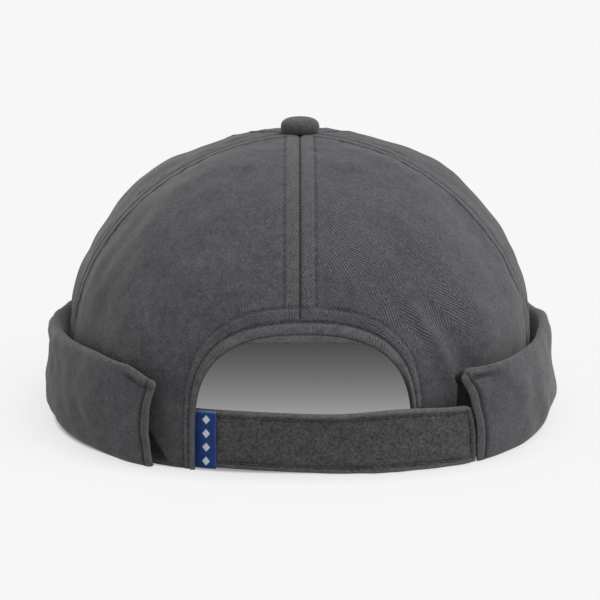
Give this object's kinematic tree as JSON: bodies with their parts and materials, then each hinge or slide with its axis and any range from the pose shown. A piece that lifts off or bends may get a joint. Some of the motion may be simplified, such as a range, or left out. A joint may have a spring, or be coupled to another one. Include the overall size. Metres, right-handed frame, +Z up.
{
  "type": "docker cap",
  "caption": "Brimless cotton twill cap of sewn panels with a covered top button, a turned-up cuff and an adjuster strap across an arched opening at the back.",
  "frame": {"origin": "on the ground, at the middle of the cap's box as it stands on its cuff", "axes": "+Z up, +Y towards the wearer's face, the arched opening and the strap on the -Y side"},
  "size_m": [0.1936, 0.213, 0.1114],
  "materials": {
    "crown_twill": "brushed charcoal herringbone cotton twill",
    "binding_twill": "folded edge strip of charcoal cotton twill",
    "cuff_twill": "doubled charcoal herringbone cotton twill",
    "strap_twill": "doubled charcoal twill with a looped backing",
    "tag_weave": "smooth woven blue tape",
    "button_twill": "charcoal twill drawn over a button"
  },
  "bodies": {
    "root": {"crown_panel_back_right": "crown_twill", "crown_panel_side_right": "crown_twill", "crown_panel_front": "crown_twill", "crown_panel_side_left": "crown_twill", "crown_panel_back_left": "crown_twill", "arch_binding": "binding_twill", "cuff": "cuff_twill", "adjuster_strap": "strap_twill", "strap_tag": "tag_weave", "top_button": "button_twill"}
  },
  "joints": []
}
